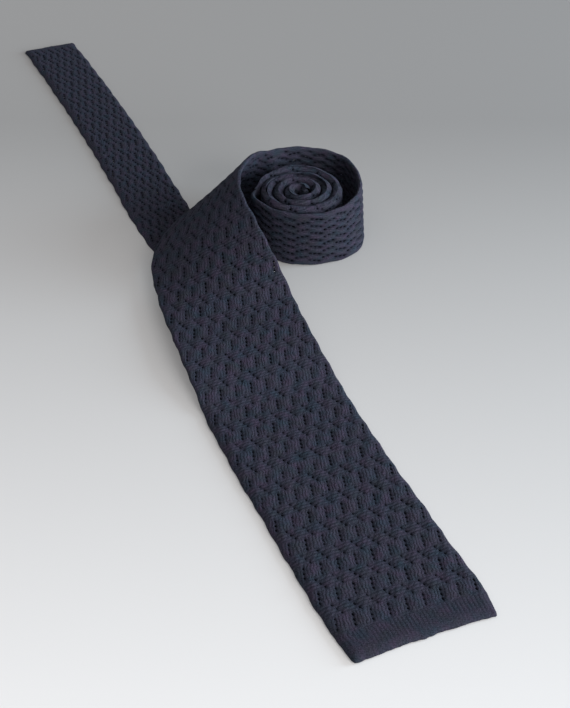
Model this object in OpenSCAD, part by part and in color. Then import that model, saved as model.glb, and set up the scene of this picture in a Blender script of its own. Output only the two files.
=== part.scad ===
// Knitted square-end necktie, folded in half at the neck and rolled from the fold.
// The roll stands on edge. The wide blade and the narrow tail lie flat on the table.
// Frame: +Y runs along the flat strip towards the tail's end, +Z is up from the table,
// and the origin is on the table under the roll's core.

/* [Cloth] */
// Thickness of the flattened two-ply knitted strip
knit_t = 2.2; // [2:0.1:2.3]
// Air between the front ply and the back ply
ply_gap = 0.1; // [0.05:0.05:0.2]
// Room under the flat cloth that the labels and seam threads take up
underside = 0.4; // [0.35:0.05:0.5]
// Clearance left at each line where the flat cloth lifts
lift_gap = 0.3; // [0.2:0.05:0.5]

/* [Blade] */
// Width of the blade across its square end
blade_end_w = 55; // [50:1:58]
// Depth of the plain ribbed hem at the blade's end
blade_hem = 12; // [8:1:16]
// Distance from the roll's axis to the blade's end
blade_reach = 246; // [236:1:256]

/* [Tail] */
// Width of the narrow tail
tail_w = 32; // [28:1:33]
// Depth of the plain hem at the tail's end
tail_hem = 5; // [3:1:8]
// Distance from the roll's axis to the tail's end
tail_reach = 237; // [225:1:250]

/* [Roll] */
// Radius of the loose outer wrap, at the middle of the cloth
roll_r = 28.3; // [27.5:0.1:29]
// Height of the windings, which is the neck's width
neck_w = 30; // [29:0.5:32]
// Air left between neighbouring windings
turn_gap = 0.45; // [0.4:0.05:0.6]
// Radius of the tight core where the first arm joins it
core_r = 19.4; // [19:0.1:19.6]

/* [Labels] */
// Width of the blank keeper label that the tail slips through
keeper_w = 34; // [34:1:40]
// Height of the keeper label along the blade
keeper_h = 22; // [16:1:26]
// Thickness of the label ribbons
label_t = 0.25; // [0.2:0.05:0.3]

/* [Hidden] */

navy = [0.15, 0.18, 0.25];
navy_rib = [0.12, 0.14, 0.20];
thread = [0.10, 0.12, 0.17];
ribbon_cloth = [0.30, 0.33, 0.40];

ply_t = (knit_t - ply_gap) / 2;
pitch = 2 * (knit_t + turn_gap);
half_t = knit_t / 2;
flat_mid_z = underside + half_t;

// Lines across the flat cloth where it lifts, as distances along Y
blade_root_y = -120;
blade_fold_y = -184;
tail_root_y = 58;
tail_fold_y = 148;

// Middle of the keeper label on the blade's back
keeper_x = -57.5;
keeper_y = -140;

// Where the tail bends back under itself, hidden by the blade
under_bend_y = -75;
under_bend_top = 3.6;
under_shift = 7.9;

// Small distance that keeps two lengths of the same cloth apart
joint_gap = 0.1;
joint_turn = 0.004;

// The roll: angles in degrees, turns counted inwards from the blade's side
exit_angle = 135;
wrap_first = 0.085;
wrap_last = 1.0;
tuck_from = 0.86;
tuck_to = 1.02;
core_shift = [-3.2, -4.6];
wrap_shift = [0.8, -0.6];
wrap_stretch = 1.0;
stretch_angle = 10;
blade_last = 4.4;
tail_first = -0.06;
tail_last = blade_last - 1;
steps_per_turn = 36;

// Height of the outer wrap: tallest where the blade leaves it, lowest in front
wrap_back_h = 34;
wrap_front_h = 29.6;

// Edges of the blade where it turns down from the roll, at the middle of the cloth
left_edge = [
    [-88, blade_root_y + lift_gap / 2, flat_mid_z], [-88, -108, 1.8],
    [-87.8, -92, 4.4], [-87.5, -77, 5.9], [-86.5, -55, 5.6], [-84.5, -33, 4.8],
    [-80, -6, 4.2], [-71, 12, 4.4], [-56, 26, 4.4], [-38, 32.5, 3.2], [-20, 31.5, 1.6]
];
right_edge = [
    [-27, blade_root_y + lift_gap / 2, flat_mid_z], [-27, -108, 2.4],
    [-27, -92, 5.4], [-26.5, -76, 7.4], [-26.8, -58, 10.5], [-29.5, -42, 20.5],
    [-33.5, -24, 32], [-33.8, -6, 37.3], [-28, 10, 37], [-18.5, 21.5, 35.5]
];

// Edges of the tail where it leaves the core and turns down under the blade
tail_left_edge = [
    [-36, -14, 1.8], [-50, -25, 4.3], [-60, -38, 3.9], [-66, -52, 3.7],
    [-68.5, -64, 3.6], [-69, under_bend_y, under_bend_top]
];
tail_right_edge = [
    [-33, -11, 30], [-35, -18, 26.5], [-36, -29, 18], [-37, -42, 10],
    [-37.2, -58, 5], [-37.2, under_bend_y, under_bend_top]
];

function smooth(x, low, high) =
    let (t = min(1, max(0, (x - low) / (high - low)))) t * t * (3 - 2 * t);

// Middle line of the blade's arm in the roll, and its outward normal
function arm_point(turn) =
    let (angle = exit_angle - 360 * turn,
         s = smooth(turn, tuck_from, tuck_to),
         loose = roll_r + wrap_stretch * pow(cos(angle - stretch_angle), 2),
         tight = core_r - pitch * (turn - tuck_to),
         r = (1 - s) * loose + s * tight,
         shift = (1 - s) * wrap_shift + s * core_shift)
    [shift.x + r * cos(angle), shift.y + r * sin(angle)];

function arm_normal(turn) =
    let (d = arm_point(turn + 0.001) - arm_point(turn - 0.001))
    [-d.y, d.x] / norm(d);

// The tail's arm hugs the next inner turn of the blade's arm
function tail_point(turn) =
    arm_point(turn + 1) + (knit_t + turn_gap) * arm_normal(turn + 1);

function band_side(first, last, offset) =
    let (n = ceil((last - first) * steps_per_turn))
    [for (i = [0 : n]) let (turn = first + (last - first) * i / n)
        arm_point(turn) + offset * arm_normal(turn)];

function wrap_h(turn) =
    wrap_back_h + (wrap_front_h - wrap_back_h) * smooth(turn, wrap_first, 0.42)
        + (neck_w - wrap_front_h) * smooth(turn, 0.8, 1);

function reversed(list) = [for (i = [len(list) - 1 : -1 : 0]) list[i]];

function band_outline(first, last, offset) =
    concat(band_side(first, last, offset + half_t),
           reversed(band_side(first, last, offset - half_t)));

// Catmull-Rom curve through a list of points
function curve_at(a, b, c, d, t) =
    0.5 * (2 * b + (c - a) * t + (2 * a - 5 * b + 4 * c - d) * t * t
        + (3 * b - a - 3 * c + d) * t * t * t);

function curve(points, parts) =
    let (last = len(points) - 1)
    concat([for (i = [0 : last - 1], k = [0 : parts - 1])
        curve_at(i == 0 ? 2 * points[0] - points[1] : points[i - 1],
                 points[i], points[i + 1],
                 i == last - 1 ? 2 * points[last] - points[last - 1] : points[i + 2],
                 k / parts)],
        [points[last]]);

function unit(v) = v / norm(v);

// Outline of the flat cloth between two distances along Y
function blade_left(y) = -88 + 8 * pow(max(0, (-y - 120) / 126), 1.6);
function blade_right(y) = blade_left(-blade_reach) + blade_end_w
    - 2 * smooth(y, -blade_reach, blade_root_y);
function tail_middle(y) = -61 - 9.5 * smooth(y, 20, tail_reach);

// The hidden length leans towards the roll before it joins the tail's line
function under_middle(y) =
    tail_middle(y) + under_shift * (1 - smooth(y, under_bend_y, 10));

function blade_outline(low, high) =
    let (rows = [for (i = [0 : 6]) low + (high - low) * i / 6])
    concat([for (y = rows) [blade_left(y), y]], [for (y = reversed(rows)) [blade_right(y), y]]);

function tail_outline(low, high) =
    let (rows = [for (i = [0 : 6]) low + (high - low) * i / 6])
    concat([for (y = rows) [tail_middle(y) - tail_w / 2, y]],
           [for (y = reversed(rows)) [tail_middle(y) + tail_w / 2, y]]);

// A strip of cloth of constant thickness between two edge curves
module strip(left, right) {
    last = len(left) - 1;
    normals = [for (i = [0 : last])
        unit(cross(right[i] - left[i], left[min(i + 1, last)] + right[min(i + 1, last)]
            - left[max(i - 1, 0)] - right[max(i - 1, 0)]))];
    points = [for (i = [0 : last]) each [
        left[i] - half_t * normals[i], right[i] - half_t * normals[i],
        right[i] + half_t * normals[i], left[i] + half_t * normals[i]]];
    sides = [for (i = [0 : last - 1], k = [0 : 3])
        let (a = 4 * i + k, b = 4 * i + (k + 1) % 4)
        each [[a, b, b + 4], [a, b + 4, a + 4]]];
    caps = [[0, 2, 1], [0, 3, 2],
            [4 * last, 4 * last + 1, 4 * last + 2], [4 * last, 4 * last + 2, 4 * last + 3]];
    polyhedron(points, concat(sides, caps));
}

module band(first, last, offset, height) {
    linear_extrude(height) polygon(band_outline(first, last, offset));
}

module front_ply() {
    translate([0, 0, underside + ply_t + ply_gap]) linear_extrude(ply_t) children();
}

module back_ply() {
    translate([0, 0, underside]) linear_extrude(ply_t) children();
}

// Ladder of short stitches that closes the cloth tube along its back
module seam(x, low, high) {
    stitch_l = 3;
    stitch_gap = 1;
    count = floor((high - low) / (stitch_l + stitch_gap));
    for (i = [0 : count - 1])
        translate([x - 0.4, low + i * (stitch_l + stitch_gap), underside - 0.25])
            cube([0.8, stitch_l, 0.25]);
}

// The bend at the middle of the neck, where both arms of the roll begin
module neck_fold() {
    inner = arm_point(blade_last);
    outer = tail_point(tail_last);
    middle = (inner + outer) / 2;
    across = outer - inner;
    color(navy)
        translate([middle.x, middle.y, 0])
            rotate([0, 0, atan2(across.y, across.x) - 180])
                rotate_extrude(angle = 180, $fn = 48)
                    translate([turn_gap / 2, 0]) square([knit_t, neck_w]);
}

module outer_wrap() {
    last = wrap_last - joint_turn;
    n = ceil((last - wrap_first) * steps_per_turn);
    turns = [for (i = [0 : n]) wrap_first + (last - wrap_first) * i / n];
    color(navy)
        strip([for (t = turns) [arm_point(t).x, arm_point(t).y, 0]],
              [for (t = turns) [arm_point(t).x, arm_point(t).y, wrap_h(t)]]);
}

module blade_windings() {
    color(navy) band(wrap_last, blade_last, 0, neck_w);
}

module tail_windings() {
    color(navy) band(tail_first + 1, tail_last + 1, knit_t + turn_gap, neck_w);
}

// The blade's cloth, from the standing outer wrap down to the table
module blade_turndown() {
    foot = arm_point(wrap_first - joint_turn);
    left = curve(concat(left_edge, [[foot.x, foot.y, 0]]), 5);
    right_points = concat(right_edge, [[-12.5, 25.6, 34.3], [foot.x, foot.y, wrap_back_h]]);
    right = curve(right_points, 5);
    color(navy) strip(left, right);
}

// The tail's cloth, from the core down to the table under the blade
module tail_turndown() {
    start = tail_point(tail_first - joint_turn);
    mid = tail_point(tail_first - 0.05) + [-1.5, 0];
    left = curve(concat([[start.x, start.y, 0], [mid.x, mid.y, 0.6]], tail_left_edge), 6);
    right = curve(concat([[start.x, start.y, neck_w], [mid.x, mid.y, neck_w]],
                         tail_right_edge), 6);
    color(navy) strip(left, right);
}

// The bend that turns the tail back under itself
module tail_foldback() {
    bend_z = (under_bend_top + half_t) / 2;
    color(navy)
        translate([-69, under_bend_y - joint_gap, bend_z])
            rotate([0, 90, 0])
                rotate([0, 0, 180])
                    rotate_extrude(angle = 180, $fn = 48)
                        translate([bend_z - knit_t, 0]) square([knit_t, 31.8]);
}

// The tail on the table under the blade, up to the line where it lifts
module tail_underrun() {
    low = under_bend_y;
    high = tail_root_y - lift_gap / 2;
    rows = [for (i = [0 : 10]) low + (high - low) * i / 10];
    color(navy)
        linear_extrude(knit_t)
            polygon(concat(
                [for (y = rows) [under_middle(y) - tail_w / 2, y]],
                [for (y = reversed(rows)) [under_middle(y) + tail_w / 2, y]]));
}

module blade_upper_front_ply() {
    color(navy) front_ply()
        polygon(blade_outline(blade_fold_y + lift_gap / 2, blade_root_y - lift_gap / 2));
}

module blade_upper_back_ply() {
    color(navy) back_ply()
        polygon(blade_outline(blade_fold_y + lift_gap / 2, blade_root_y - lift_gap / 2));
}

module blade_upper_seam() {
    color(thread) seam(-57.5, blade_fold_y + 4, keeper_y - keeper_h / 2 - 2);
}

// A blank ribbon label sewn at both ends, which also holds the tail's end in wear
module keeper_label() {
    color(ribbon_cloth)
        translate([keeper_x - keeper_w / 2, keeper_y - keeper_h / 2, 0])
            cube([keeper_w, keeper_h, label_t]);
}

module keeper_tacks() {
    tack_w = 1.4;
    color(thread)
        for (side = [-1, 1])
            translate([keeper_x + side * (keeper_w / 2 + tack_w / 2 + 0.05) - tack_w / 2,
                       keeper_y - keeper_h / 2 + 1, 0.05])
                cube([tack_w, keeper_h - 2, underside - 0.05]);
}

// A blank care label tucked between the keeper label and the cloth
module care_label() {
    color(ribbon_cloth)
        translate([keeper_x - 8, keeper_y - 7, label_t + 0.02])
            cube([16, 24, 0.1]);
}

module blade_end_front_ply() {
    color(navy) front_ply()
        polygon(blade_outline(-blade_reach + blade_hem, blade_fold_y - lift_gap / 2));
}

module blade_end_back_ply() {
    color(navy) back_ply()
        polygon(blade_outline(-blade_reach + blade_hem, blade_fold_y - lift_gap / 2));
}

module blade_end_seam() {
    color(thread) seam(-56, -blade_reach + blade_hem + 4, blade_fold_y - 4);
}

// The plain ribbed hem, knitted round and closed along its lower edge
module blade_hem_band() {
    color(navy_rib)
        translate([0, 0, 0.1])
            linear_extrude(underside + knit_t)
                polygon(blade_outline(-blade_reach, -blade_reach + blade_hem - 0.6));
}

// The row of linking stitches between the openwork cloth and the hem
module blade_hem_link() {
    color(thread)
        translate([0, 0, underside])
            linear_extrude(knit_t)
                polygon(blade_outline(-blade_reach + blade_hem - 0.55,
                                      -blade_reach + blade_hem - 0.05));
}

module blade_end_tack() {
    color(thread)
        translate([-56.6, -blade_reach + blade_hem + 0.3, underside - 0.35])
            cube([1.2, 3.2, 0.35]);
}

module tail_upper_front_ply() {
    color(navy) front_ply()
        polygon(tail_outline(tail_root_y + lift_gap / 2, tail_fold_y - lift_gap / 2));
}

module tail_upper_back_ply() {
    color(navy) back_ply()
        polygon(tail_outline(tail_root_y + lift_gap / 2, tail_fold_y - lift_gap / 2));
}

module tail_upper_seam() {
    color(thread) seam(-64, tail_root_y + 3, tail_fold_y - 3);
}

module tail_end_front_ply() {
    color(navy) front_ply()
        polygon(tail_outline(tail_fold_y + lift_gap / 2, tail_reach - tail_hem));
}

module tail_end_back_ply() {
    color(navy) back_ply()
        polygon(tail_outline(tail_fold_y + lift_gap / 2, tail_reach - tail_hem));
}

module tail_end_seam() {
    color(thread) seam(-69, tail_fold_y + 3, tail_reach - tail_hem - 5);
}

module tail_hem_band() {
    color(navy_rib)
        translate([0, 0, 0.1])
            linear_extrude(underside + knit_t)
                polygon(tail_outline(tail_reach - tail_hem + 0.6, tail_reach));
}

module tail_hem_link() {
    color(thread)
        translate([0, 0, underside])
            linear_extrude(knit_t)
                polygon(tail_outline(tail_reach - tail_hem + 0.05, tail_reach - tail_hem + 0.55));
}

module tail_end_tack() {
    color(thread)
        translate([-70.6, tail_reach - tail_hem - 3.5, underside - 0.35])
            cube([1.2, 3.2, 0.35]);
}

neck_fold();
outer_wrap();
blade_windings();
tail_windings();
blade_turndown();
tail_turndown();
tail_foldback();
tail_underrun();
blade_upper_front_ply();
blade_upper_back_ply();
blade_upper_seam();
keeper_label();
keeper_tacks();
care_label();
blade_end_front_ply();
blade_end_back_ply();
blade_end_seam();
blade_hem_band();
blade_hem_link();
blade_end_tack();
tail_upper_front_ply();
tail_upper_back_ply();
tail_upper_seam();
tail_end_front_ply();
tail_end_back_ply();
tail_end_seam();
tail_hem_band();
tail_hem_link();
tail_end_tack();
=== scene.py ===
"""Looks of the rolled knitted necktie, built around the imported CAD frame.

Lengths are in millimetres until a mesh is made; everything in Blender is in metres.
The cloth is a two-ply strip. Each ply is a grid of vertices laid along the strip's path,
with real eyelets cut through it, and its pattern is a formula of the distances across (u)
and along (v) the strip.
"""

import math

import bpy
import numpy as np
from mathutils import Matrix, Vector


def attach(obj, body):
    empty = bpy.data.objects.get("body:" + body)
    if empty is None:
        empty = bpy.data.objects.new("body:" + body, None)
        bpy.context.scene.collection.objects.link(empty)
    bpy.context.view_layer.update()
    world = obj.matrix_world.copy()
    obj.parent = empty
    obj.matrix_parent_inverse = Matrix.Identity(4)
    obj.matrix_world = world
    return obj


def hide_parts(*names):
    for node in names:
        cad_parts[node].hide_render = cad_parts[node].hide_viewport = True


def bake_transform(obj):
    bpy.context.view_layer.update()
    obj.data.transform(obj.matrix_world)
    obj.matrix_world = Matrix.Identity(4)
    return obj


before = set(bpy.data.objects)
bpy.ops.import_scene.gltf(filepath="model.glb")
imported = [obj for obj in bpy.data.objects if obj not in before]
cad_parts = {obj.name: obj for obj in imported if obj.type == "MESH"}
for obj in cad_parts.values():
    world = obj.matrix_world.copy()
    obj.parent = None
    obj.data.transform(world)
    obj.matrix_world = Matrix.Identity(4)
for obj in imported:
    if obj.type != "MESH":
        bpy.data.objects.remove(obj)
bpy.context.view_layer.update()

MM = 0.001

# ---------------------------------------------------------------- camera

CAMERA_AZIMUTH = math.radians(-21.7)
CAMERA_ELEVATION = math.radians(41.0)
CAMERA_DISTANCE = 0.560
CAMERA_AIM = Vector((-0.04266, -0.08420, 0.0))
CAMERA_LENS = 63.6


def make_camera():
    data = bpy.data.cameras.new("camera")
    data.lens = CAMERA_LENS
    data.sensor_width = 36.0
    data.clip_start = 0.01
    data.clip_end = 20.0
    camera = bpy.data.objects.new("camera", data)
    back = Vector((math.sin(CAMERA_AZIMUTH) * math.cos(CAMERA_ELEVATION),
                   -math.cos(CAMERA_AZIMUTH) * math.cos(CAMERA_ELEVATION),
                   math.sin(CAMERA_ELEVATION)))
    camera.location = CAMERA_AIM + back * CAMERA_DISTANCE
    camera.rotation_euler = back.to_track_quat("Z", "Y").to_euler()
    bpy.context.scene.collection.objects.link(camera)
    bpy.context.scene.camera = camera


make_camera()

# ---------------------------------------------------------------- sizes

KNIT_T = 2.2            # the flattened strip, both plies
HALF_T = KNIT_T / 2
TURN_GAP = 0.45
PITCH = 2 * (KNIT_T + TURN_GAP)
ARM_HALF_T = 1.24       # the neck's denser knit fills the gaps between windings
UNDERSIDE = 0.4
FLAT_Z = UNDERSIDE + HALF_T

BLADE_END_Y = -246.0
BLADE_ROOT_Y = -120.0   # the lift joint
BLADE_SPLIT_Y = -152.0  # where two pieces meet
BLADE_RISE_Y = -108.0   # beyond here the blade leaves the table
BLADE_HEM = 10.6
BLADE_END_W = 55.0
TAIL_END_Y = 239.0
TAIL_ROOT_Y = 58.0      # the lift joint
TAIL_SPLIT_Y = 103.0    # where two pieces meet
TAIL_COVER_Y = 44.0     # here the tail goes under the blade
UNDER_LENGTH = 75.0     # and lies hidden for this far
TAIL_HEM = 5.0
TAIL_W = 30.8
TAIL_X = -61.9          # the tail's middle line, which drifts to the left further out
TAIL_DRIFT = 9.8
TAIL_DRIFT_FROM, TAIL_DRIFT_SPAN = 20.0, 217.0
UNDER_LEFT, UNDER_RIGHT = -69.0, -37.2      # the tail's hidden bend under the blade
UNDER_BEND_Y = -75.0
UNDER_BEND_TOP = 3.6
UNDER_SHIFT = 9.1
NECK_W = 30.0
WRAP_BACK_H, WRAP_FRONT_H = 34.3, 29.6
LYING_UNDER = 12.0      # the strip counts as lying on the table below this height

# the roll: turns are counted inwards from the blade's side
EXIT_ANGLE = 135.0
ROLL_R = 27.5           # the loose outer wrap
CORE_R = 19.4           # the tight core's outermost turn
TUCK = (0.85, 0.97)     # the turns over which the wrap comes in to the core
CORE_FIRST = 1.02
TUCK_TURN = 0.93        # the wrap's piece ends here
WRAP_SHIFT = np.array([0.8, -0.6])
CORE_SHIFT = np.array([-3.3, -4.8])
WRAP_CORNER = 2.3       # the wrap is fuller in one direction
CORNER_ANGLE, CORNER_SPAN = 28.0, 26.0
WRAP_FIRST = 0.085      # the wrap's first turn, the blade's last and the tail's first
BLADE_LAST = 4.4
TAIL_FIRST = -0.06
FOOT_Z = 0.25           # the windings' lower edges stand just off the table
TURN_STEP = 1 / 180
CURVE_PARTS = 16        # steps between two points of an edge

# the openwork pattern
REPEAT_U = 6.35         # one column of slots
REPEAT_V = 12.8         # one row of slots and one row of slanting eyelets
WALE = 1.27
HEM_WALE = 1.5
HEM_BEAD, BEAD = 0.9, 0.95      # one stitch along a wale
COURSE, CROSS_STITCH = 1.5, 2.3     # rows and stitches of the crosswise knit
SKEW = 0.04             # the rows run a little askew across the strip

LEFT_EDGE = [
    (-81.5, BLADE_END_Y, FLAT_Z), (-83.5, -233, FLAT_Z), (-85.5, -210, FLAT_Z),
    (-87.2, -180, FLAT_Z), (-88.6, -150, FLAT_Z), (-89.6, BLADE_ROOT_Y, FLAT_Z),
    (-89.7, -108, 1.8), (-89.2, -92, 4.4), (-88.8, -77, 5.9), (-87.5, -55, 5.6),
    (-85.4, -33, 4.8), (-80.6, -6, 4.2), (-71, 12, 4.4), (-56, 26, 4.4), (-38, 32.5, 3.2),
    (-20, 31.5, 1.6),
]
RIGHT_EDGE = [
    (-24.4, BLADE_END_Y, FLAT_Z), (-23.2, -233, FLAT_Z), (-25, -210, FLAT_Z),
    (-26.5, -180, FLAT_Z), (-27.6, -150, FLAT_Z), (-28.1, BLADE_ROOT_Y, FLAT_Z),
    (-28.1, -108, 2.4), (-29, -92, 5.4), (-28.8, -76, 7.4), (-28.4, -58, 10.5),
    (-30.3, -42, 20.5), (-33.5, -24, 32), (-33.8, -6, 37.3), (-28, 10, 37.4),
    (-18.5, 21.5, 36.3), (-12.5, 25.6, 35),
]
TAIL_LEFT_EDGE = [
    (-36, -14, 1.8), (-50, -25, 4.3), (-60, -38, 3.9), (-66, -52, 3.7),
    (-68.5, -64, 3.6), (UNDER_LEFT, UNDER_BEND_Y, UNDER_BEND_TOP),
]
TAIL_RIGHT_EDGE = [
    (-33, -11, 20), (-35, -18, 18), (-36, -29, 13.5), (-37, -42, 8.5),
    (UNDER_RIGHT, -58, 5), (UNDER_RIGHT, UNDER_BEND_Y, UNDER_BEND_TOP),
]

# ---------------------------------------------------------------- paths


def smooth(x, low, high):
    t = np.clip((np.asarray(x, float) - low) / (high - low), 0, 1)
    return t * t * (3 - 2 * t)


def hump(x, centre, width):
    return np.exp(-((np.asarray(x, float) - centre) / width) ** 2)


def arm_point(turn):
    """Middle line of the blade's arm in the roll, seen from above."""
    angle = np.radians(EXIT_ANGLE - 360 * turn)
    s = smooth(turn, *TUCK)
    off_corner = np.mod(EXIT_ANGLE - 360 * turn - CORNER_ANGLE + 180, 360) - 180
    loose = ROLL_R + WRAP_CORNER * hump(off_corner, 0, CORNER_SPAN)
    tight = CORE_R - PITCH * (turn - CORE_FIRST)
    r = (1 - s) * loose + s * tight
    x = (1 - s) * WRAP_SHIFT[0] + s * CORE_SHIFT[0] + r * np.cos(angle)
    y = (1 - s) * WRAP_SHIFT[1] + s * CORE_SHIFT[1] + r * np.sin(angle)
    return np.stack([x, y], -1)


def arm_normal(turn):
    d = arm_point(turn + 0.001) - arm_point(turn - 0.001)
    d /= np.linalg.norm(d, axis=-1, keepdims=True)
    return np.stack([-d[..., 1], d[..., 0]], -1)


def tail_point(turn):
    """The tail's arm hugs the next inner turn of the blade's arm."""
    gap = KNIT_T + TURN_GAP - 0.24 * smooth(turn, 0.1, 0.4) + 0.9 * hump(turn, 0.90, 0.12)
    return arm_point(turn + 1) + np.reshape(gap, (-1, 1)) * arm_normal(turn + 1)


def curve(points, parts):
    """Catmull-Rom curve through a list of points."""
    p = np.array(points, float)
    p = np.vstack([2 * p[0] - p[1], p, 2 * p[-1] - p[-2]])
    t = (np.arange(parts) / parts)[:, None]
    out = []
    for a, b, c, d in zip(p, p[1:], p[2:], p[3:]):
        out.append(0.5 * (2 * b + (c - a) * t + (2 * a - 5 * b + 4 * c - d) * t ** 2
                          + (3 * b - a - 3 * c + d) * t ** 3))
    return np.vstack(out + [p[-2:-1]])


def tail_middle(y):
    return TAIL_X - TAIL_DRIFT * np.clip((y - TAIL_DRIFT_FROM) / TAIL_DRIFT_SPAN, 0, 2) ** 2.3


def under_middle(y):
    return tail_middle(y) + UNDER_SHIFT * (1 - smooth(y, UNDER_BEND_Y, 55))


def points_at(x, y, z):
    x, y, z = np.broadcast_arrays(x, y, z)
    return np.stack([x, y, z], -1).astype(float)


class Path:
    """A strip's two edges, sampled evenly along its length, with its across and up directions."""

    STEP = 0.5

    def __init__(self, left, right, start=0.0, ease=6):
        middle = (left + right) / 2
        steps = np.linalg.norm(np.diff(middle, axis=0), axis=1)
        keep = np.r_[True, steps > 1e-6]
        left, right, middle = left[keep], right[keep], middle[keep]
        v = np.r_[0, np.cumsum(np.linalg.norm(np.diff(middle, axis=0), axis=1))]
        self.v = np.arange(0, v[-1], self.STEP)
        self.left = self.ease(self.spread(left, v), ease)
        self.right = self.ease(self.spread(right, v), ease)
        middle = (self.left + self.right) / 2
        along = np.gradient(middle, axis=0)
        across = self.right - self.left
        self.width = np.linalg.norm(across, axis=1)
        self.across = across / self.width[:, None]
        up = self.ease(np.cross(self.across, along), ease)
        self.up = up / np.linalg.norm(up, axis=1, keepdims=True)
        self.middle = middle
        self.v += start

    def spread(self, p, v):
        """Points at the distances v, sampled again at the path's even steps."""
        return np.stack([np.interp(self.v, v, p[:, i]) for i in range(3)], 1)

    @staticmethod
    def ease(p, rounds):
        """Rounds off the small corners where curves meet, and keeps both ends."""
        for _ in range(rounds):
            p = np.vstack([p[:1], (p[:-2] + 2 * p[1:-1] + p[2:]) / 4, p[-1:]])
        return p

    def at(self, values, v):
        if values.ndim == 1:
            return np.interp(v, self.v, values)
        return np.stack([np.interp(v, self.v, values[:, i]) for i in range(3)], -1)

    def v_at_y(self, y):
        """Distance along the strip at which its middle passes y, on the flat stretch."""
        raised = self.middle[:, 2] > LYING_UNDER
        i = int(np.argmin(np.abs(self.middle[:, 1] - y) + 1e3 * raised))
        return float(self.v[i])


def wrap_height(turn):
    return (WRAP_BACK_H + (WRAP_FRONT_H - WRAP_BACK_H) * smooth(turn, WRAP_FIRST - 0.05, 0.42)
            + (NECK_W - WRAP_FRONT_H) * smooth(turn, 0.8, 1))


def make_blade_path():
    turns = np.arange(WRAP_FIRST, BLADE_LAST, TURN_STEP)
    arm = arm_point(turns)
    top = wrap_height(turns)
    # the windings stand at slightly different heights, and one stretch has sunk
    top = top + 0.6 * np.sin(2 * math.pi * turns * 1.31 + 0.7) * smooth(turns, 1.0, 1.3)
    top = top - 2.4 * hump(turns, 2.3, 0.17) - 1.5 * hump(turns, 0.93, 0.05)
    # the wrap's foot spreads where it faces front right, and its rim leans in
    spread = 3.3 * hump(turns, 0.52, 0.08)
    lean = 0.3 * smooth(turns, 0.30, 0.42) * (1 - smooth(turns, 0.8, 0.9))
    foot = arm + arm_normal(turns) * spread[:, None]
    rim = arm - arm_normal(turns) * lean[:, None]
    # the neck's fold, where the blade's arm turns into the tail's
    inner, outer = arm[-1], tail_point(BLADE_LAST - 1)[0]
    ahead = (arm[-1] - arm[-2]) / np.linalg.norm(arm[-1] - arm[-2])
    half = np.radians(np.arange(10, 181, 10))[:, None]
    bend = (inner + outer) / 2 + (inner - outer) / 2 * np.cos(half) \
        + ahead * np.linalg.norm(outer - inner) / 2 * np.sin(half)
    foot, rim = np.vstack([foot, bend]), np.vstack([rim, bend])
    top = np.r_[top, np.full(len(bend), top[-1])]
    left = np.vstack([curve(LEFT_EDGE + [(*arm[0], FOOT_Z)], CURVE_PARTS),
                      points_at(foot[:, 0], foot[:, 1], FOOT_Z)])
    right = np.vstack([curve(RIGHT_EDGE + [(*arm[0], top[0])], CURVE_PARTS),
                       points_at(rim[:, 0], rim[:, 1], top)])
    return Path(left, right)


def make_tail_path():
    """From the tail's square end, under the blade, round its bend and into the core."""
    y = np.arange(TAIL_END_Y, UNDER_BEND_Y, -2.0)
    middle = np.where(y > TAIL_ROOT_Y, tail_middle(y), under_middle(y))
    z = HALF_T + UNDERSIDE * smooth(y, 30, 58)
    bend_mid = (UNDER_BEND_TOP + HALF_T) / 2
    bend_r = (UNDER_BEND_TOP - HALF_T) / 2
    angle = np.radians(np.arange(0, 181, 15))
    bend_y = UNDER_BEND_Y - bend_r * np.sin(angle)
    bend_z = bend_mid - bend_r * np.cos(angle)
    turns = np.arange(TAIL_FIRST, BLADE_LAST - 1, TURN_STEP)
    arm = tail_point(turns)
    lead = tail_point(np.array([TAIL_FIRST - 0.05]))[0] + [-1.5, 0]
    top = NECK_W + 0.6 * np.sin(2 * math.pi * turns * 1.17 + 2.1) * smooth(turns, 0, 0.3)
    low = 9.0 * (1 - smooth(turns, TAIL_FIRST, 0.12))
    top = top - low
    down_left = TAIL_LEFT_EDGE[::-1] + [(*lead, 0.6), (*arm[0], FOOT_Z)]
    down_right = TAIL_RIGHT_EDGE[::-1] + [(*lead, top[0] - 1), (*arm[0], top[0])]
    # seen along this path the tail's left edge is on its right until the bend turns it over
    flat_right = points_at(middle - TAIL_W / 2, y, z)
    flat_left = points_at(middle + TAIL_W / 2, y, z)
    bend_right = points_at(UNDER_LEFT, bend_y, bend_z)
    bend_left = points_at(UNDER_RIGHT, bend_y, bend_z)
    left = np.vstack([flat_left, bend_left, curve(down_right, CURVE_PARTS),
                      points_at(arm[:, 0], arm[:, 1], top)])
    right = np.vstack([flat_right, bend_right, curve(down_left, CURVE_PARTS),
                       points_at(arm[:, 0], arm[:, 1], FOOT_Z)])
    return Path(left, right)


BLADE = make_blade_path()
TAIL = make_tail_path()

# ---------------------------------------------------------------- the knitted surface

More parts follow.
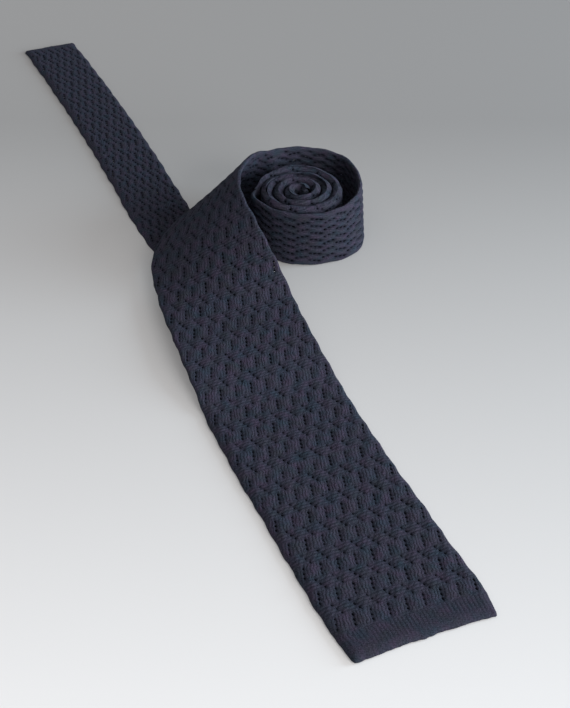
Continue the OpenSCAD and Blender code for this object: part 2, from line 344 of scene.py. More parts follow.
EYELET_ROWS = 6
ROW = REPEAT_V / EYELET_ROWS
SLOT_LEAN = 0.55        # how far each eyelet of a slot sits beside the last
SLANT_LEAN = 0.85
EYELET_U, EYELET_V = 0.37, 0.65
SLANT_SIZE = 0.92       # the slanting run's eyelets are smaller
SIZE_SPREAD = 0.17
PILLOW, HEM_RIB = 0.20, 0.03                # heights of the cushions and of the hem's ribs
EYELET_MARGIN, RIM_MARGIN = 1.6, 0.6        # cloth left beside the outermost eyelets
EDGE_ROUND, RIM_ROUND = 1.5, 2.1            # how far in a side edge is rounded
END_ROUND = 1.3
DROOP, DROOP_REACH = 0.8, 3.5               # lying edges sink towards the table
DISH, DISH_REACH = 0.16, 1.35               # the cloth dips around an eyelet
EYELET_SHADE, COLLAR_SHADE = 0.60, 0.75     # and painted shade darkens its colour there and on each eyelet's rim
FLOOR_GAP = 0.06
CORNER_R = 1.8          # the square ends' corners
COLLAR = 0.6            # depth of an eyelet's rim, the thickness of one ply


def eyelet_shift(row):
    """Sideways place of the eyelets in one row of the pattern: three rows make an upright
    slot and the next three a slanting run, half a column away."""
    k = np.mod(row, EYELET_ROWS)
    slot = (k - 1) * SLOT_LEAN
    slant = REPEAT_U / 2 - (k - 4) * SLANT_LEAN
    return np.where(k < 3, slot, slant)


def wobble(a, b, seed):
    """Smooth irregularity between -1 and 1, from a few fixed waves."""
    rng = np.random.default_rng(seed)
    total = 0
    for _ in range(5):
        fa, fb, p = rng.uniform(-1, 1), rng.uniform(-1, 1), rng.uniform(0, 6.28)
        total = total + np.sin(a * fa + b * fb + p)
    return total / 5


def pattern_place(u, v, w):
    """A point's place in the pattern, and how much narrower the pattern is there."""
    squeeze = (w / BLADE_END_W) ** 0.75
    pu = u / squeeze + 0.35 * wobble(0 * u, v * 0.05, 41) + 0.25 * wobble(u * 0.1, v * 0.3, 43)
    pv = v + SKEW * u + 0.5 * wobble(u * 0.08, v * 0.04, 42) + 0.2 * wobble(u * 0.3, v * 0.1, 44)
    return pu, pv, squeeze


def nearest_eyelet(u, v, w):
    """Distance to the nearest eyelet, 1 on its rim, and the eyelet's centre."""
    pu, pv, squeeze = pattern_place(u, v, w)
    best = np.full(u.shape, 1e9)
    cu, cv = np.zeros_like(u), np.zeros_like(v)
    base = np.round(pv / ROW)
    half_u = EYELET_U * (1.5 - 0.5 * squeeze)
    half_v = EYELET_V * (1.3 - 0.3 * squeeze)
    for step in (-1, 0, 1):
        # the nearest eyelet may be in this row or in the next one on either side
        row = base + step
        shift = eyelet_shift(row)
        column = np.round((pu - shift) / REPEAT_U)
        off_u = (shift + REPEAT_U * column - pu) * squeeze
        off_v = row * ROW - pv
        # no two neighbours are quite the same size
        small = np.where(np.mod(row, EYELET_ROWS) < 3, 1.0, SLANT_SIZE) \
            * (1.0 + SIZE_SPREAD * np.sin(12.9898 * row + 78.233 * column))
        d = ((off_u / half_u) ** 2 + (off_v / half_v) ** 2) / small ** 2
        closer = d < best
        best = np.where(closer, d, best)
        cu, cv = np.where(closer, u + off_u, cu), np.where(closer, v + off_v, cv)
    return np.sqrt(best), cu, cv


def mesh_object(name, points, faces, uv, **values):
    mesh = bpy.data.meshes.new(name)
    mesh.vertices.add(len(points))
    mesh.vertices.foreach_set("co", (points * MM).astype(np.float32).ravel())
    mesh.loops.add(faces.size)
    mesh.loops.foreach_set("vertex_index", faces.ravel().astype(np.int32))
    mesh.polygons.add(len(faces))
    mesh.polygons.foreach_set("loop_start", np.arange(0, faces.size, 4, dtype=np.int32))
    mesh.polygons.foreach_set("use_smooth", np.ones(len(faces), bool))
    layer = mesh.uv_layers.new(name="knit")
    layer.data.foreach_set("uv", uv[faces.ravel()].astype(np.float32).ravel())
    for field, value in values.items():
        layer = mesh.attributes.new(field, "FLOAT", "POINT")
        layer.data.foreach_set("value", value.astype(np.float32))
    mesh.update(calc_edges=True)
    mesh.validate()
    piece = bpy.data.objects.new(name, mesh)
    bpy.context.scene.collection.objects.link(piece)
    return piece


def grid_faces(rows, columns):
    index = np.arange(rows * columns).reshape(rows, columns)
    return np.stack([index[:-1, :-1], index[:-1, 1:], index[1:, 1:], index[1:, :-1]],
                    -1).reshape(-1, 4)


def knit_height(u, v, w, hem, relief):
    """Height of the ply's face above its mean. It swells into a cushion between the slots."""
    inner = w / 2 - np.abs(u)
    pu, pv, squeeze = pattern_place(u, v, w)
    pillow = -PILLOW * np.cos(2 * math.pi * pu / REPEAT_U) \
        * np.cos(2 * math.pi * (pv - ROW) / REPEAT_V)
    uneven = 0.10 * wobble(u * 0.5, v * 0.4, 3)
    cloth = (pillow * relief * squeeze ** 2 + uneven) * smooth(inner, 0, 4)
    rib = HEM_RIB * np.cos(2 * math.pi * u / HEM_WALE)
    return cloth + (rib - cloth) * hem


def between_rows(v):
    """The nearest place along the strip that lies between two rows of eyelets."""
    return (round(v / ROW - 0.5) + 0.5) * ROW


def open_place(u, v, w, v_low, v_high, hem, margin, open_side, open_from):
    """Whether an eyelet at this place is open: not beside an edge, in the hem or at a seam
    between two pieces. open_side and open_from keep it to one rim of the windings."""
    return ((w / 2 - np.abs(u) > margin) & (v + SKEW * u > hem + 1)
            & (v > v_low + 1) & (v < v_high - 1) & (u * open_side > open_from * w / 2))


def shape_end(u, v, s, inner, flare):
    """Distances along the strip near its end, a little wavy and with rounded corners."""
    corner = np.maximum(CORNER_R - inner, 0)
    cut = CORNER_R - np.sqrt(np.maximum(CORNER_R ** 2 - corner ** 2, 0))
    flare = flare * smooth(np.abs(s), 0.5, 1)
    wave = 0.35 * wobble(u * 0.7, 0 * v, 51)
    ruffle = 0.25 * wobble(u * 2.0, 0 * v, 52)
    return v + (cut - flare - wave - ruffle) * (1 - smooth(v, 0, 4))


def make_ply(name, path, v_low, v_high, side, step, shape=None, hem=0.0, half_t=HALF_T,
             eyelets=True, columns_at=None, open_from=-2.0, pressed=0, relief=1.0,
             drawn=(1e4, 2e4)):
    """One ply of the strip between two distances along it. side is 1 for the face that shows
    on the flat strip and -1 for its back. Below hem the knit is plain rib, and over the
    distances in drawn it comes to be drawn out lengthwise, so that only its wales show."""
    rows = max(2, int(round((v_high - v_low) / step)) + 1)
    v_line = np.linspace(v_low, v_high, rows)
    if columns_at is None:
        columns_at = np.linspace(-1, 1, int(round(float(np.max(path.width)) / step)) + 1)
    s, v = np.meshgrid(columns_at, v_line)
    w = path.at(path.width, v_line)[:, None] + 0 * s
    u = s * w / 2
    faces = grid_faces(rows, len(columns_at))
    near_hole = np.zeros_like(u)
    rim = np.zeros(u.size, bool)
    if eyelets:
        margin = EYELET_MARGIN if half_t == HALF_T else RIM_MARGIN
        # the side on which the grid is finer
        open_side = 1 if columns_at[-1] - columns_at[-2] <= columns_at[1] - columns_at[0] else -1
        limits = (v_low, v_high, hem, margin, open_side, open_from)
        flat_u, flat_v, flat_w = (a.ravel()[faces].mean(1) for a in (u, v, w))
        ring, cu, cv = nearest_eyelet(flat_u, flat_v, flat_w)
        inside = (ring < 1) & open_place(cu, cv, flat_w, *limits)
        rim[np.intersect1d(faces[inside], faces[~inside])] = True
        faces = faces[~inside]
        # the grid's points around each opening move on to its round rim
        ring, cu, cv = nearest_eyelet(u, v, w)
        grow = 1 / np.clip(ring, 0.4, 2)
        snap = rim.reshape(u.shape)
        near_hole = np.exp(-(np.maximum(ring - 1, 0) / DISH_REACH) ** 2) \
            * open_place(cu, cv, w, *limits)
        u = np.where(snap, cu + (u - cu) * grow, u)
        v = np.where(snap, cv + (v - cv) * grow, v)
    inner = w / 2 - np.abs(u)
    edge = np.clip(1 - inner / (EDGE_ROUND if half_t == HALF_T else RIM_ROUND), 0, 1)
    droop = 1 - smooth(inner, 0, DROOP_REACH)
    if v_low == 0:
        edge = np.hypot(edge, np.clip(1 - v / END_ROUND, 0, 1))
        droop = np.maximum(droop, 1 - smooth(v, 0, DROOP_REACH))
    round_off = np.sqrt(np.maximum(1 - edge ** 2, 0))
    if pressed:
        # two strands pressed together make one rounded band
        round_off = 1.0 if side == pressed else 2 * round_off - 1
    in_hem = 1 - smooth(v + SKEW * u, hem - 1.5, hem + 1.5) if hem else 0.0
    height = half_t + knit_height(u, v, w, in_hem, relief) * half_t / HALF_T - DISH * near_hole
    height = side * height * round_off
    pu, pv, _ = pattern_place(u, v, w)
    uv = np.stack([pu.ravel(), pv.ravel()], 1)
    if shape is not None:
        u, bulge = shape(u, v, w)
        height = height + bulge
    up = path.at(path.up, v.ravel())
    if v_low == 0:
        v = shape_end(u, v, s, inner, 0.9 if path is BLADE else -0.3)
    middle = path.at(path.middle, v.ravel())
    points = middle + path.at(path.across, v.ravel()) * u.reshape(-1, 1)
    past = np.minimum(v, 0).reshape(-1, 1)
    points += past * (path.middle[1] - path.middle[0]) / path.STEP
    points += up * height.reshape(-1, 1)
    flat = 1 - smooth(middle[:, 2], 1.8, 3.0)
    points[:, 2] -= DROOP * flat * droop.ravel()
    points[:, 2] = np.maximum(points[:, 2], FLOOR_GAP)
    # painted shade: the colour darkens around each open eyelet, most at its rim
    depth = EYELET_SHADE * near_hole.ravel()
    if eyelets:
        points, faces, uv, depth = add_collars(points, faces, uv, depth, up * side, rim)
    rib = 1 - smooth(uv[:, 1], hem - 1, hem + 1) if hem else np.zeros(len(uv))
    drawn_out = smooth(uv[:, 1], *drawn)
    if side < 0:
        faces = faces[:, ::-1]
    used = np.unique(faces)
    remap = np.full(len(points), -1)
    remap[used] = np.arange(len(used))
    return mesh_object(name, points[used], remap[faces], uv[used], depth=depth[used],
                       rib=rib[used], drawn=drawn_out[used])


def add_collars(points, faces, uv, depth, outward, rim):
    """Turns each eyelet's rim down into the cloth, so that the ply has thickness there, and gives
    these walls painted shade.
    """
    edges = np.stack([faces, np.roll(faces, -1, axis=1)], -1).reshape(-1, 2)
    edges = edges[rim[edges].all(1)]
    key = np.sort(edges, axis=1)
    _, first, count = np.unique(key[:, 0] * len(points) + key[:, 1], return_index=True,
                                return_counts=True)
    border = edges[first[count == 1]]
    corners = np.unique(border)
    if len(corners) == 0:
        return points, faces, uv, depth
    remap = np.full(len(points), -1)
    remap[corners] = len(points) + np.arange(len(corners))
    low = points[corners] - outward[corners] * COLLAR
    low[:, 2] = np.maximum(low[:, 2], FLOOR_GAP)
    wall = np.stack([border[:, 1], border[:, 0], remap[border[:, 0]], remap[border[:, 1]]], 1)
    # the rim's new walls carry the painted shade COLLAR_SHADE
    return (np.vstack([points, low]), np.vstack([faces, wall]), np.vstack([uv, uv[corners]]),
            np.r_[depth, np.full(len(corners), COLLAR_SHADE)])


# ---------------------------------------------------------------- materials


class Nodes:
    """A small helper that adds and joins shader nodes."""

    def __init__(self, name):
        self.material = bpy.data.materials.new(name)
        self.material.use_nodes = True
        self.tree = self.material.node_tree
        self.shader = self.tree.nodes["Principled BSDF"]

    def link(self, value, socket):
        if isinstance(value, (int, float, tuple)):
            socket.default_value = value
        else:
            self.tree.links.new(value, socket)

    def math(self, operation, a, b=0.0, c=None, clamp=False):
        node = self.tree.nodes.new("ShaderNodeMath")
        node.operation = operation
        node.use_clamp = clamp
        self.link(a, node.inputs[0])
        self.link(b, node.inputs[1])
        if c is not None:
            self.link(c, node.inputs[2])
        return node.outputs[0]

    def noise(self, vector, scale, detail=2.0):
        node = self.tree.nodes.new("ShaderNodeTexNoise")
        node.inputs["Scale"].default_value = scale
        node.inputs["Detail"].default_value = detail
        self.link(vector, node.inputs["Vector"])
        return node.outputs["Fac"]

    def mix(self, factor, a, b):
        node = self.tree.nodes.new("ShaderNodeMix")
        node.data_type = "RGBA"
        self.link(factor, node.inputs["Factor"])
        self.link(a, node.inputs[6])
        self.link(b, node.inputs[7])
        return node.outputs[2]

    def bump(self, height, distance, strength):
        node = self.tree.nodes.new("ShaderNodeBump")
        node.inputs["Strength"].default_value = strength
        node.inputs["Distance"].default_value = distance
        self.link(height, node.inputs["Height"])
        self.link(node.outputs["Normal"], self.shader.inputs["Normal"])

    def uv(self):
        node = self.tree.nodes.new("ShaderNodeUVMap")
        node.uv_map = "knit"
        split = self.tree.nodes.new("ShaderNodeSeparateXYZ")
        self.tree.links.new(node.outputs["UV"], split.inputs[0])
        return node.outputs["UV"], split.outputs["X"], split.outputs["Y"]

    def attribute(self, name):
        node = self.tree.nodes.new("ShaderNodeAttribute")
        node.attribute_name = name
        return node.outputs["Fac"]

    def ripple(self, phase):
        """A rounded ridge once per unit of phase, from 0 to 1."""
        return self.math("ABSOLUTE", self.math("SINE", self.math("MULTIPLY", phase, math.pi)))


YARN_BLUE = (0.029, 0.049, 0.070, 1)
YARN_PLUM = (0.050, 0.038, 0.064, 1)
YARN_GREY = (0.042, 0.045, 0.054, 1)
# the dark end of the yarn's colour, reached by dark fibres and by painted shade
DARK_FIBRE_AND_SHADE = (0.006, 0.007, 0.013, 1)
THREAD_DARK, THREAD_PALE = (0.010, 0.013, 0.024, 1), (0.030, 0.038, 0.062, 1)
LABEL_DARK, LABEL_PALE = (0.060, 0.072, 0.105, 1), (0.150, 0.175, 0.240, 1)
LABEL_WARP, LABEL_TWILL = 0.42, 0.62
YARN_RELIEF, THREAD_RELIEF, LABEL_RELIEF = 0.00028, 0.00008, 0.00006    # metres


def sharpen(n, value, strength):
    """Spreads values around one half further apart."""
    return n.math("MULTIPLY_ADD", n.math("SUBTRACT", value, 0.5), strength, 0.5, clamp=True)


def add_around(n, base, value, amount, clamp=False):
    """Adds value, taken from its middle of one half, to base."""
    return n.math("MULTIPLY_ADD", n.math("SUBTRACT", value, 0.5), amount, base, clamp=clamp)


def finish_yarn(n, height, coordinates, hole_shade):
    """Colour, sheen and roughness that both knits share; height is the stitches' relief. The
    colour carries painted shade, darker where the relief is low and around the eyelets.
    """
    # noise scales are per millimetre, from wide patches of colour down to single fibres
    patches = sharpen(n, n.noise(coordinates, 0.12, 2), 3.0)
    heather = sharpen(n, n.noise(coordinates, 0.20, 2), 2.6)
    specks = sharpen(n, n.noise(coordinates, 1.6, 2), 2.4)
    grain = sharpen(n, n.noise(coordinates, 3.6, 2), 2.6)
    fuzz = n.noise(coordinates, 9.0, 3)
    light = n.mix(heather, n.mix(patches, YARN_BLUE, YARN_GREY), YARN_PLUM)
    # painted shade: the lower the relief, the darker the colour, in the valleys between stitches
    shade_and_tone = n.math("MULTIPLY_ADD", height, 0.66, 0.18, clamp=True)
    shade_and_tone = add_around(n, shade_and_tone, fuzz, 0.5)
    shade_and_tone = add_around(n, shade_and_tone, specks, 0.45)
    shade_and_tone = add_around(n, shade_and_tone, grain, 0.38)
    shade_and_tone = add_around(n, shade_and_tone, heather, 0.16, clamp=True)
    # painted shade around and inside the eyelets darkens the colour further
    if hole_shade is not None:
        shade_and_tone = n.math("MULTIPLY", shade_and_tone, n.math("SUBTRACT", 1.0, hole_shade), clamp=True)
    n.link(n.mix(shade_and_tone, DARK_FIBRE_AND_SHADE, light), n.shader.inputs["Base Color"])
    n.link(n.math("MULTIPLY_ADD", fuzz, 0.2, 0.68), n.shader.inputs["Roughness"])
    n.shader.inputs["Specular IOR Level"].default_value = 0.06
    n.shader.inputs["Sheen Weight"].default_value = 0.04
    n.shader.inputs["Sheen Roughness"].default_value = 0.5
    n.shader.inputs["Sheen Tint"].default_value = (0.42, 0.56, 0.85, 1)
    relief = n.math("MULTIPLY_ADD", specks, 0.35, height)
    n.bump(n.math("MULTIPLY_ADD", fuzz, 0.3, relief), YARN_RELIEF, 0.9)


def hem_relief(n, u, v):
    """Height of plain fine rib, with the stitches of each wale."""
    wales = n.ripple(n.math("DIVIDE", u, HEM_WALE))
    beads = n.ripple(n.math("DIVIDE", n.math("MULTIPLY_ADD", u, 0.4, v), HEM_BEAD))
    # the wales flatten towards the end
    full = n.math("MAXIMUM", n.math("MULTIPLY_ADD", v, 0.18, -0.2, clamp=True), 0.12)
    wales = n.math("MULTIPLY_ADD", n.math("SUBTRACT", wales, 0.75), full, 0.75)
    return n.math("MULTIPLY_ADD", wales, 0.40, n.math("MULTIPLY_ADD", beads, 0.16, 0.03))


def openwork_material():
    n = Nodes("openwork_knit")
    uv, u, v = n.uv()
    even = sharpen(n, n.noise(uv, 0.28, 1), 2.4)
    # the wales wander sideways
    u = add_around(n, u, n.noise(uv, 0.42, 2), 2.2)
    # distance from the middle of the slot row, and how much of that row's stitch shows
    turn = n.math("DIVIDE", n.math("SUBTRACT", v, ROW), REPEAT_V)
    local = n.math("MULTIPLY", n.math("SUBTRACT", turn, n.math("ROUND", turn)), REPEAT_V)
    zone = n.math("SUBTRACT", 3.5, n.math("ABSOLUTE", local))
    upright = n.math("MULTIPLY_ADD", zone, 0.5, 0.5, clamp=True)
    upright = n.math("MAXIMUM", upright, n.math("MULTIPLY", n.attribute("drawn"), 0.9))
    # upright wales lean one way; between them the stitches run nearly crosswise
    wales = n.ripple(n.math("DIVIDE", n.math("MULTIPLY_ADD", local, -0.26, u), WALE))
    courses = n.ripple(n.math("DIVIDE", n.math("MULTIPLY_ADD", u, -0.10, v), COURSE))
    beads = n.ripple(n.math("DIVIDE", n.math("MULTIPLY_ADD", u, 0.45, v), BEAD))
    stitches = n.ripple(n.math("DIVIDE", n.math("MULTIPLY_ADD", v, -0.8, u), CROSS_STITCH))
    wales = n.math("MULTIPLY", wales, n.math("MULTIPLY_ADD", beads, 0.40, 0.60))
    strength = n.math("MULTIPLY_ADD", even, 0.6, 0.4)
    wales = add_around(n, 0.5, wales, strength)
    slant = n.math("MULTIPLY", n.math("MULTIPLY_ADD", courses, 0.60, 0.16),
                   n.math("MULTIPLY_ADD", stitches, 0.55, 0.50))
    height = n.math("MULTIPLY_ADD", n.math("SUBTRACT", wales, slant), upright, slant)
    plain = hem_relief(n, u, v)
    height = n.math("MULTIPLY_ADD", n.math("SUBTRACT", plain, height), n.attribute("rib"),
                    height)
    finish_yarn(n, height, uv, n.attribute("depth"))
    return n.material


def rib_material():
    n = Nodes("rib_knit")
    uv, u, v = n.uv()
    finish_yarn(n, hem_relief(n, u, v), uv, None)
    return n.material


def thread_material():
    n = Nodes("seam_thread")
    place = n.tree.nodes.new("ShaderNodeTexCoord").outputs["Object"]
    twist = n.noise(place, 3000.0, 2)
    n.link(n.mix(twist, THREAD_DARK, THREAD_PALE), n.shader.inputs["Base Color"])
    n.link(n.math("MULTIPLY_ADD", twist, 0.2, 0.5), n.shader.inputs["Roughness"])
    n.shader.inputs["Sheen Weight"].default_value = 0.2
    n.bump(twist, THREAD_RELIEF, 0.6)
    return n.material


def label_material():
    n = Nodes("label_ribbon")
    uv, u, v = n.uv()
    warp = n.ripple(n.math("DIVIDE", u, LABEL_WARP))
    twill = n.ripple(n.math("DIVIDE", n.math("ADD", u, v), LABEL_TWILL))
    weave = n.math("MULTIPLY", twill, n.math("MULTIPLY_ADD", warp, 0.4, 0.6))
    patches = n.noise(uv, 0.22, 2)
    tone = n.math("MULTIPLY_ADD", patches, 0.3, n.math("MULTIPLY", weave, 0.7), clamp=True)
    n.link(n.mix(tone, LABEL_DARK, LABEL_PALE), n.shader.inputs["Base Color"])
    n.link(n.math("MULTIPLY_ADD", weave, -0.2, 0.55), n.shader.inputs["Roughness"])
    n.shader.inputs["Sheen Weight"].default_value = 0.15
    n.bump(weave, LABEL_RELIEF, 0.7)
    return n.material


OPENWORK = openwork_material()
RIB = rib_material()
THREAD = thread_material()
RIBBON = label_material()

# ---------------------------------------------------------------- cloth pieces


def edge_wave(u, v, w, scallop, sway, seed):
    """Moves the side edges in and out: a scallop for every row, and a slow wander."""
    edge = np.clip(np.abs(u) / (w / 2), 0, 1) ** 3
    wave = scallop * np.cos(2 * math.pi * (v - 2 - 2.5 * (u > 0)) / REPEAT_V)
    wave = wave + sway * wobble(0 * u, v * 0.25, seed) + 0.12 * wobble(0 * u, v * 1.5, seed + 1)
    drift = sway * wobble(0 * u, v * 0.08, seed + 2) * np.sign(u)
    return u * (1 + edge * (wave + drift) / (w / 2))


def blade_shape(u, v, w):
    """Scalloped edges, and the cloth's slow ripples."""
    u = edge_wave(u, v, w, 0.20 * smooth(v, 10, 22), 0.25, 11)
    ripple = 0.30 * wobble(u * 0.12, v * 0.07, 5) * smooth(v, 6, 30)
    return u, ripple * (1 - smooth(v, V_WRAP - 30, V_WRAP))


def tail_shape(u, v, w):
    """The same for the tail, whose end is a little wider."""
    u = edge_wave(u, v, w, 0.22 * smooth(v, 6, 14), 0.35, 21)
    u = u * (1 + 0.03 * (1 - smooth(v, 1.5, 7)))
    return u, 0.25 * wobble(u * 0.2, v * 0.08, 23) * smooth(v, 4, 20)


def arm_shape(u, v, w):
    """The windings' rims wander in and out a little."""
    return edge_wave(u, v, w, 0.15, 0.3, 31), 0.16 * wobble(0 * u, v * 0.21, 33)


def dress(piece, material):
    piece.data.materials.append(material)
    return piece


def distance_to(path, point):
    """Distance along the strip at which it comes nearest to a point seen from above."""
    return float(path.v[np.argmin(np.linalg.norm(path.middle[:, :2] - point, axis=1))])


def outside(path):
    """1 if the face ply looks away from the roll's middle, and -1 if the back ply does."""
    v = path.v[-1] - 60     # well inside the windings
    return int(np.sign(path.at(path.up, v)[:2] @ (path.at(path.middle, v)[:2] - CORE_SHIFT)))


BLADE_OUTSIDE, TAIL_OUTSIDE = outside(BLADE), outside(TAIL)

# the places along the strip where one piece ends and the next begins
V_BLADE_HEM, V_TAIL_HEM = BLADE_HEM - 2, TAIL_HEM - 1
V_SPLIT = between_rows(BLADE.v_at_y(BLADE_SPLIT_Y))
V_ROOT = between_rows(BLADE.v_at_y(BLADE_RISE_Y))
V_WRAP = between_rows(distance_to(BLADE, arm_point(WRAP_FIRST)))
V_TUCK = between_rows(distance_to(BLADE, arm_point(TUCK_TURN)))
V_BLADE_ARM_END = float(BLADE.v[-1])
V_TAIL_SPLIT = between_rows(TAIL.v_at_y(TAIL_SPLIT_Y))
V_TAIL_ROOT = between_rows(TAIL.v_at_y(TAIL_COVER_Y))
V_TAIL_HIDDEN = between_rows(TAIL.v_at_y(TAIL_COVER_Y) + UNDER_LENGTH)
V_TAIL_ARM = distance_to(TAIL, tail_point(TAIL_FIRST)[0])
V_TAIL_ARM_END = float(TAIL.v[-1])

FINE, COARSE = 0.5, 0.8             # steps of the plies' grids


def hem_band(name, path, high, shape, hem, body):
    """Both plies of a plain ribbed hem, each attached to the given body."""
    made = []
    for side, ply in ((1, "face"), (-1, "back")):
        piece = make_ply(name + "_" + ply, path, 0.0, high, side,
                         FINE if side > 0 else COARSE, shape, hem, eyelets=False)
        made.append(dress(piece, RIB))
        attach(piece, body)
    return made


def cloth(name, path, low, high, held, rests_on, shape, hem=0.0, fine=(1,), hems=(None, None),
          **options):
    """Both plies of one stretch of the strip, each a mesh of its own. fine says
    which of the two are seen from close by, and so have their eyelets. hems, the plies of the hem
    at its end, is not used."""
    made = []
    for side, ply, band in ((1, "face", hems[0]), (-1, "back", hems[1])):
        piece = make_ply(name + "_" + ply, path, low, high, side,
                         FINE if side in fine else COARSE, shape, hem,
                         eyelets=side in fine, **options)
        dress(piece, OPENWORK)
        width = float(np.mean(path.at(path.width, np.linspace(low, high, 50))))
        made.append(piece)
    return made


def across_joint(made):
    """Bakes each ply's placement into its mesh."""
    for piece in made:
        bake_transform(piece)


def ride(made, body):
    for piece in made:
        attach(piece, body)


blade_hem = hem_band("blade_hem_knit", BLADE, V_BLADE_HEM, blade_shape, BLADE_HEM, "blade_end")
blade_end = cloth("blade_end_knit", BLADE, V_BLADE_HEM, V_SPLIT, "laid", ["table"],
                  blade_shape, hem=BLADE_HEM, fine=(1, -1), hems=blade_hem)
blade_root = cloth("blade_root_knit", BLADE, V_SPLIT, V_ROOT, "laid", ["table"], blade_shape,
                   fine=(1, -1))
turndown = cloth("blade_turndown_knit", BLADE, V_ROOT, V_WRAP, "folded",
                 ["table", "outer_wrap_knit_face"], blade_shape, fine=(1, -1),
                 drawn=(V_WRAP - 40, V_WRAP))
wrap = cloth("outer_wrap_knit", BLADE, V_WRAP, V_TUCK, "folded", ["table"], blade_shape,
             fine=(1, -1), relief=4.4, drawn=(0, 1))
# the windings' grids are fine only near their upper rims
arm_columns = np.r_[np.linspace(-1, 0.45, 10), np.linspace(0.5, 1.0, 17)]
blade_arm = cloth("blade_arm_knit", BLADE, V_TUCK, V_BLADE_ARM_END, "folded", ["table"],
                  arm_shape, fine=(1, -1), half_t=ARM_HALF_T, columns_at=arm_columns,
                  open_from=0.5, pressed=BLADE_OUTSIDE, drawn=(0, 1))
tail_arm = cloth("tail_arm_knit", TAIL, V_TAIL_ARM, V_TAIL_ARM_END, "folded", ["table"],
                 arm_shape, fine=(1, -1), half_t=ARM_HALF_T, columns_at=-arm_columns[::-1],
                 open_from=0.5, pressed=-TAIL_OUTSIDE, drawn=(0, 1))
tail_hem = hem_band("tail_hem_knit", TAIL, V_TAIL_HEM, tail_shape, TAIL_HEM, "tail_end")
tail_end = cloth("tail_end_knit", TAIL, V_TAIL_HEM, V_TAIL_SPLIT, "laid", ["table"],
                 tail_shape, hem=TAIL_HEM, fine=(1, -1), hems=tail_hem)
tail_root = cloth("tail_root_knit", TAIL, V_TAIL_SPLIT, V_TAIL_ROOT, "laid", ["table"],
                  tail_shape, fine=(1, -1))
tail_under = cloth("tail_under_knit", TAIL, V_TAIL_ROOT, V_TAIL_HIDDEN, "laid", ["table"],
                   tail_shape)
tail_hidden = cloth("tail_turndown_knit", TAIL, V_TAIL_HIDDEN, V_TAIL_ARM, "folded",
                    ["table"], tail_shape, fine=())

across_joint(blade_end)
across_joint(blade_root)
ride(turndown + wrap + blade_arm + tail_arm + tail_under + tail_hidden, "roll")
across_joint(tail_root)
across_joint(tail_end)


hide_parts("blade_hem_band", "blade_hem_link")
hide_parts("blade_end_front_ply", "blade_upper_front_ply")
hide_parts("blade_end_back_ply", "blade_upper_back_ply")
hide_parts("blade_turndown")
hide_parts("outer_wrap")
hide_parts("blade_windings", "neck_fold")
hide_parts("tail_windings")
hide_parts("tail_underrun")
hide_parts("tail_turndown", "tail_foldback")
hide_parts("tail_hem_band", "tail_hem_link")
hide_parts("tail_end_front_ply", "tail_upper_front_ply")
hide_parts("tail_end_back_ply", "tail_upper_back_ply")

# ---------------------------------------------------------------- labels


def make_ribbon(name, middle, size, low, high, node):
    """A thin woven ribbon lying under the cloth, its long edges a little thicker."""
    columns, rows = 49, 33
    s, t = np.meshgrid(np.linspace(-1, 1, columns), np.linspace(-1, 1, rows))
    corner = np.maximum(np.abs(s) * size[0] / 2 - (size[0] / 2 - 1), 0) \
        * np.maximum(np.abs(t) * size[1] / 2 - (size[1] / 2 - 1), 0)
    x = s * (size[0] / 2 - 0.3 * corner) + 0.10 * wobble(0 * t, t * 4, 61) * np.abs(s)
    y = t * (size[1] / 2 - 0.3 * corner) + 0.10 * wobble(s * 5, 0 * s, 62) * np.abs(t)
    edge = np.maximum(np.abs(s), np.abs(t)) > 0.999
    selvedge = smooth(np.abs(t), 0.90, 0.93)
    full = (high - low) / 2 * (0.72 + 0.28 * selvedge) + 0.02 * wobble(s * 9, t * 6, 63)
    half = np.where(edge, 0.0, np.minimum(full, (high - low) / 2))
    grid = grid_faces(rows, columns)
    points = []
    for side in (1, -1):
        z = (low + high) / 2 + side * half
        points.append(np.stack([x + middle[0], y + middle[1], z], -1).reshape(-1, 3))
    border = edge.ravel()
    remap = np.arange(len(border)) + len(border)
    remap[border] = np.flatnonzero(border)
    faces = np.vstack([grid, remap[grid[:, ::-1]]])
    keep = np.r_[np.ones(len(border), bool), ~border]
    order = np.cumsum(keep) - 1
    uv = np.vstack([np.stack([x.ravel(), y.ravel()], 1)] * 2)
    ribbon = mesh_object(name, np.vstack(points)[keep], order[faces], uv[keep])
    dress(ribbon, RIBBON)
    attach(ribbon, "blade_upper")
    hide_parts(node)


make_ribbon("keeper_ribbon", (-57.5, -140.0), (34.0, 22.0), 0.02, 0.25, "keeper_label")
make_ribbon("care_ribbon", (-57.5, -135.0), (16.0, 24.0), 0.27, 0.37, "care_label")

# ---------------------------------------------------------------- what is kept from the CAD

STITCHES = ("blade_upper_seam", "blade_end_seam", "blade_end_tack", "tail_upper_seam",
            "tail_end_seam", "tail_end_tack", "keeper_tacks")
for node in STITCHES:
    shown = bpy.data.objects[node]
    shown.data.materials.clear()
    dress(shown, THREAD)

# ---------------------------------------------------------------- floor and light

# The floor's painted shade, standing in for the lamps' fall-off, is darkest FLOOR_TURN metres
# beyond the roll, much paler towards the camera and a little paler further off. All of these are
# in metres or shares of full white.
FLOOR_TURN = 0.11
FLOOR_DARK, FLOOR_PALE = 0.233, 0.62
FLOOR_RISE, FLOOR_POWER = 1.14, 1.25
FLOOR_FAR_RISE, FLOOR_REACH = 0.10, 0.15
FLOOR_SIDE = 0.72
FLOOR_GLOW = 0.30
FLOOR_TINT = (1.0, 0.985, 0.985)
FLOOR_HALF = 6.0
FLOOR_SIDE_REACH = 0.3
WORLD_LIGHT = 0.36


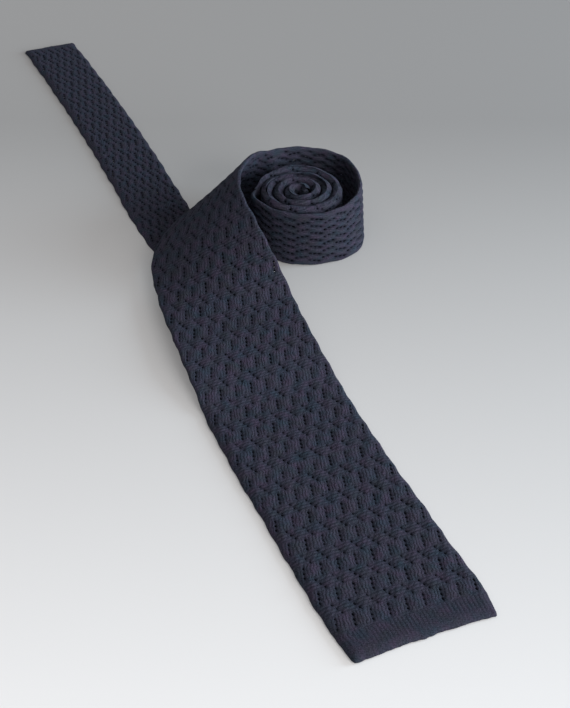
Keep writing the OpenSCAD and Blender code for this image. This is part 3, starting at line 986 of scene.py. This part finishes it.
def make_floor():
    """A pale sweep that darkens gently into the distance. This is painted shade, lying on the
    floor itself.
    """
    mesh = bpy.data.meshes.new("floor")
    half = FLOOR_HALF
    mesh.from_pydata([(-half, -half, 0), (half, -half, 0), (half, half, 0), (-half, half, 0)],
                     [], [(0, 1, 2, 3)])
    floor = bpy.data.objects.new("floor", mesh)
    bpy.context.scene.collection.objects.link(floor)
    n = Nodes("floor")
    place = n.tree.nodes.new("ShaderNodeTexCoord").outputs["Object"]
    split = n.tree.nodes.new("ShaderNodeSeparateXYZ")
    n.tree.links.new(place, split.inputs[0])
    away = n.math("MULTIPLY_ADD", split.outputs["Y"], math.cos(CAMERA_AZIMUTH),
                  n.math("MULTIPLY", split.outputs["X"], -math.sin(CAMERA_AZIMUTH)))
    # painted shade along the way the camera looks
    near = n.math("MAXIMUM", n.math("SUBTRACT", FLOOR_TURN, away), 0.0)
    far = n.math("MAXIMUM", n.math("SUBTRACT", away, FLOOR_TURN), 0.0)
    shade = n.math("MULTIPLY_ADD", n.math("POWER", near, FLOOR_POWER), FLOOR_RISE, FLOOR_DARK)
    shade = n.math("MULTIPLY_ADD", n.math("MINIMUM", far, FLOOR_REACH), FLOOR_FAR_RISE, shade)
    shade = n.math("MINIMUM", shade, FLOOR_PALE)
    # painted shade, a little darker to the right, evens out the extra light of the lamp that
    # stands close by there
    across = n.math("MULTIPLY_ADD", split.outputs["X"], math.cos(CAMERA_AZIMUTH),
                    n.math("MULTIPLY", split.outputs["Y"], math.sin(CAMERA_AZIMUTH)))
    across = n.math("MAXIMUM", n.math("MINIMUM", across, FLOOR_SIDE_REACH), -FLOOR_SIDE_REACH)
    side = n.math("MULTIPLY_ADD", across, -FLOOR_SIDE, 1.0)
    shade = n.math("MULTIPLY", shade, side)
    scale = n.tree.nodes.new("ShaderNodeVectorMath")
    scale.operation = "SCALE"
    n.link(FLOOR_TINT, scale.inputs[0])
    n.link(shade, scale.inputs["Scale"])
    n.link(scale.outputs[0], n.shader.inputs["Base Color"])
    n.shader.inputs["Roughness"].default_value = 0.9
    n.shader.inputs["Specular IOR Level"].default_value = 0.1
    # the floor glows with painted light, which keeps the contact shadows faint
    n.link(scale.outputs[0], n.shader.inputs["Emission Color"])
    n.shader.inputs["Emission Strength"].default_value = FLOOR_GLOW
    mesh.materials.append(n.material)


def area_light(name, place, aim, size, power, colour=(1, 1, 1)):
    data = bpy.data.lights.new(name, "AREA")
    data.color = colour
    data.size = size
    data.energy = power
    light = bpy.data.objects.new(name, data)
    light.location = place
    light.rotation_euler = (Vector(place) - Vector(aim)).to_track_quat("Z", "Y").to_euler()
    bpy.context.scene.collection.objects.link(light)


def make_lights():
    world = bpy.data.worlds.new("studio")
    bpy.context.scene.world = world
    world.use_nodes = True
    back = world.node_tree.nodes["Background"]
    back.inputs["Color"].default_value = (1.0, 1.0, 1.0, 1)
    back.inputs["Strength"].default_value = WORLD_LIGHT
    area_light("over", (-0.10, -0.46, 0.88), (-0.05, -0.20, 0.0), size=1.0, power=1.6)
    area_light("front_right", (0.60, -1.57, 0.60), (-0.04, -0.05, 0.0), size=1.1, power=35.0)
    area_light("right", (0.85, -0.33, 0.30), (0.0, 0.0, 0.0), size=0.4, power=11.0,
               colour=(0.76, 0.90, 1.0))


make_floor()
make_lights()
bpy.context.scene.view_settings.view_transform = "Standard"
